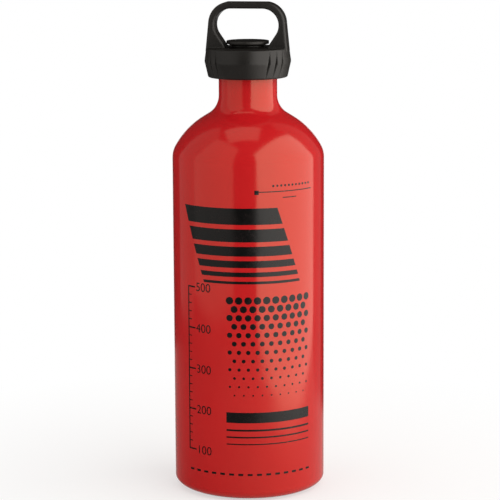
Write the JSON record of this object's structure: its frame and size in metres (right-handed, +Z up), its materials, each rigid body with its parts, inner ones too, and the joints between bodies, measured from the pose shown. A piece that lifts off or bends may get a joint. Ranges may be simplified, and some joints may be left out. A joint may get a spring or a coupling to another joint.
{
  "type": "camping fuel bottle",
  "caption": "Slender metal fuel bottle with a domed shoulder and narrow neck, closed by a push-and-turn screw stopper with a moulded carry loop.",
  "frame": {"origin": "centre of the foot ring, on the surface that the bottle stands on", "axes": "+Z up along the bottle's axis; the carry loop stands in the XZ plane, with its opening along Y"},
  "size_m": [0.079, 0.079, 0.255],
  "materials": {
    "enamelled_shell": "gloss",
    "seal": "matte",
    "plug_plastic": "matte",
    "spring_steel": "satin",
    "cap_plastic": "satin"
  },
  "bodies": {
    "bottle": {"bottle_shell": "enamelled_shell"},
    "seal": {"seal_ring": "seal"},
    "plug": {"stopper_plug": "plug_plastic"},
    "spring": {"finger_spring": "spring_steel"},
    "cap": {"overcap": "cap_plastic"}
  },
  "joints": [
    {"name": "cap_rise", "type": "slide", "parent": "bottle", "child": "seal", "axis": [0, 0, 1], "range_m": [0, 0.015]},
    {"name": "cap_turn", "type": "hinge", "parent": "seal", "child": "plug", "pos_m": [0, 0, 0.2226], "axis": [0, 0, 1], "range_deg": [0, 1800]},
    {"name": "cap_spin", "type": "hinge", "parent": "plug", "child": "spring", "pos_m": [0, 0, 0.2267], "axis": [0, 0, 1], "continuous": true},
    {"name": "cap_push", "type": "slide", "parent": "spring", "child": "cap", "axis": [0, 0, -1], "range_m": [0, 0.0015], "stiffness_N_per_m": 6000, "deforming": ["finger_spring"]}
  ],
  "couplings": [
    {"joint": "cap_turn", "follows": "cap_rise", "rad_per_m": 2094.4}
  ]
}
